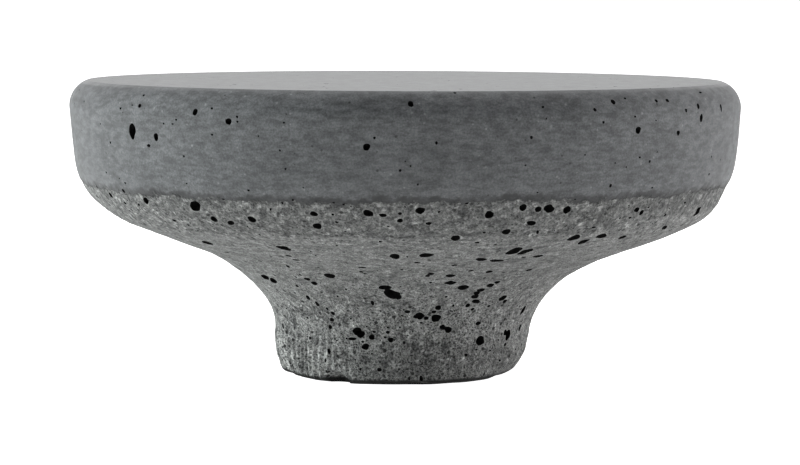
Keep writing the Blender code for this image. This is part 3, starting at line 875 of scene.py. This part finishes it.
def basalt():
    """Honed grey stone that turns coarse and speckled below the edge of the honing."""
    material = bpy.data.materials.new("basalt")
    n = Nodes(material)
    at = Zones(n)
    coarse = with_brushing(n, at, coarse_colour(n, at))
    coarse = with_pits(n, at, with_stem_shading_and_rasp_marks(n, at, coarse))
    colour = n.mix(at.rough, honed_colour(n, at), coarse)
    n.feed(n.shader.inputs["Base Color"], with_dark_lines(n, at, colour))
    n.feed(n.shader.inputs["Roughness"], stone_gloss(n, at))
    n.feed(n.shader.inputs["Normal"], stone_bump(n, at))
    return material


def pore_basalt():
    """Painted shade inside the pores: near black, dull and faintly mottled."""
    material = bpy.data.materials.new("pore_basalt")
    n = Nodes(material)
    shade_mottle = n.noise(n.place(), 3.0, 3, 0.7)
    n.feed(n.shader.inputs["Base Color"], n.mix(n.rescale(shade_mottle, 0.3, 0.7), PAINTED_SHADE_BLACK, PAINTED_SHADE_GREY))
    n.feed(n.shader.inputs["Roughness"], n.rescale(shade_mottle, 0.2, 0.8, 0.80, 0.95))
    n.shader.inputs["Specular IOR Level"].default_value = 0.15
    return material


FLOOR_GLOW = 0.25


def pale_floor():
    """White to the eye, however the light falls on it."""
    material = bpy.data.materials.new("pale_floor")
    n = Nodes(material)
    n.shader.inputs["Base Color"].default_value = (0.85, 0.85, 0.85, 1)
    n.shader.inputs["Roughness"].default_value = 0.7
    n.shader.inputs["Emission Color"].default_value = (1, 1, 1, 1)
    seen = n.add("ShaderNodeLightPath").outputs["Is Camera Ray"]
    n.feed(n.shader.inputs["Emission Strength"], n.blend(seen, FLOOR_GLOW, 1.0))
    return material


# ---------------------------------------------------------------- stage

# Parts of the white tent: how far back it is still dark, how far back it is fully bright, and how bright
TENT = (-0.32, 0.3, 0.74)
BACKDROP = (0.7, 0.97, 0.45)
# Lamps: place, the point each is aimed at, width and height in metres, watts and colour
LAMPS = {"light_left": ((-0.585, 0.0, 0.155), (0, 0, 0.03), (0.6, 0.6), 6.9, (0.94, 1.0, 0.99)),
         "light_right": ((0.60, 0.03, 0.06), (0, 0, 0.03), (0.6, 0.5), 4.4, (1, 1, 1)),
         "light_top": ((0, 0, 0.80), (0, 0, 0), (1.0, 0.7), 1.9, (1, 1, 1))}
CAMERA_PLACE = (-0.0008, -0.480, 0.05785)
CAMERA_LENS = 144.1          # millimetres
CAMERA_DROP = 4.40           # degrees below level
CAMERA_ROLL = -0.2
FLOOR_REACH = 12             # metres from the middle to each side


def floor():
    mesh = bpy.data.meshes.new("floor")
    shape = bmesh.new()
    bmesh.ops.create_grid(shape, x_segments=1, y_segments=1, size=FLOOR_REACH)
    shape.to_mesh(mesh)
    shape.free()
    mesh.materials.append(pale_floor())
    ground = bpy.data.objects.new("floor", mesh)
    bpy.context.scene.collection.objects.link(ground)


def soft_light(name, place, aim, size, power, colour):
    """A large lamp that lights the stone but isn't mirrored in it."""
    lamp = bpy.data.lights.new(name, "AREA")
    lamp.shape = "RECTANGLE"
    lamp.size, lamp.size_y = size
    lamp.energy = power
    lamp.color = colour
    thing = bpy.data.objects.new(name, lamp)
    thing.location = place
    thing.visible_glossy = False
    thing.rotation_mode = "QUATERNION"
    thing.rotation_quaternion = (Vector(aim) - Vector(place)).to_track_quat("-Z", "Y")
    bpy.context.scene.collection.objects.link(thing)


def studio():
    """A white tent that is open, and so dark, towards the front, and three large lamps."""
    world = bpy.data.worlds.new("studio")
    bpy.context.scene.world = world
    world.use_nodes = True
    nodes, links = world.node_tree.nodes, world.node_tree.links
    background = nodes["Background"]
    background.inputs["Strength"].default_value = 1.0
    way = nodes.new("ShaderNodeTexCoord")
    split = nodes.new("ShaderNodeSeparateXYZ")
    links.new(way.outputs["Generated"], split.inputs[0])
    total = nodes.new("ShaderNodeMath")
    for slot, (dark, bright, level) in enumerate((TENT, BACKDROP)):
        part = nodes.new("ShaderNodeMapRange")
        part.interpolation_type = "SMOOTHSTEP"
        for socket, value in (("From Min", dark), ("From Max", bright), ("To Max", level)):
            part.inputs[socket].default_value = value
        links.new(split.outputs["Y"], part.inputs["Value"])
        links.new(part.outputs["Result"], total.inputs[slot])
    sight = nodes.new("ShaderNodeLightPath")
    shown = nodes.new("ShaderNodeMix")
    shown.data_type = "FLOAT"
    links.new(sight.outputs["Is Camera Ray"], shown.inputs[0])
    links.new(total.outputs[0], shown.inputs[2])
    shown.inputs[3].default_value = 1.0
    links.new(shown.outputs[0], background.inputs["Color"])

    for name, settings in LAMPS.items():
        soft_light(name, *settings)


def camera():
    """A little above the cap and almost half a metre in front of it."""
    lens = bpy.data.cameras.new("camera")
    lens.lens = CAMERA_LENS
    lens.clip_start, lens.clip_end = 0.01, 50
    thing = bpy.data.objects.new("camera", lens)
    thing.location = CAMERA_PLACE
    thing.rotation_euler = (radians(90 - CAMERA_DROP), radians(CAMERA_ROLL), 0)
    bpy.context.scene.collection.objects.link(thing)
    bpy.context.scene.camera = thing


camera()
studio()
floor()
stone = carved_stone()
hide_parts("massage_stone")
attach(stone, "root")
bpy.context.scene.view_settings.view_transform = "Standard"
